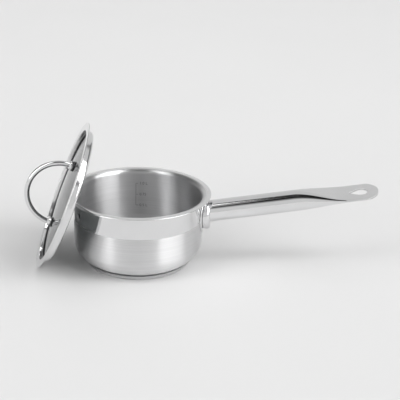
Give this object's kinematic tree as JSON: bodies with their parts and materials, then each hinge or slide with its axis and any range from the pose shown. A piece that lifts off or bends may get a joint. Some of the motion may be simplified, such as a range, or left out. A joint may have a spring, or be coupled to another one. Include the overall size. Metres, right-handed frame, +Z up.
{
  "type": "saucepan with lid",
  "caption": "Straight-sided steel saucepan with a flat-ended tube handle and a leaning glass lid with a wire loop.",
  "frame": {"origin": "centre of the underside of the base, on the surface that the pan stands on", "axes": "+Z up along the pan's axis; +X from the axis towards the handle; the lid stands on the -X side"},
  "size_m": [0.4069, 0.1841, 0.1642],
  "materials": {
    "polished_steel": "mirror polished outside, brushed inside",
    "base_steel": "polished edge, turned underside",
    "core_aluminium": "plain",
    "handle_steel": "polished",
    "lid_steel": "polished",
    "fixing_steel": "plain",
    "silicone": "matt",
    "glass": "clear tempered"
  },
  "bodies": {
    "pan": {"pan_body": "polished_steel", "base_cap": "base_steel", "base_core": "core_aluminium", "handle_shield": "handle_steel", "handle_ferrule": "handle_steel", "handle_tube": "handle_steel"},
    "lid": {"lid_ring": "lid_steel", "lid_seal": "silicone", "lid_glass": "glass", "lid_loop": "lid_steel", "loop_collar_upper": "lid_steel", "loop_collar_lower": "lid_steel", "outer_washer_upper": "silicone", "outer_washer_lower": "silicone", "inner_washer_upper": "silicone", "inner_washer_lower": "silicone", "steel_washer_upper": "fixing_steel", "steel_washer_lower": "fixing_steel", "loop_screw_upper": "fixing_steel", "loop_screw_lower": "fixing_steel"}
  },
  "joints": [
    {"name": "lid_lift", "type": "slide", "parent": "pan", "child": "lid", "axis": [0, 0, 1], "range_m": [0, 0.2]}
  ]
}
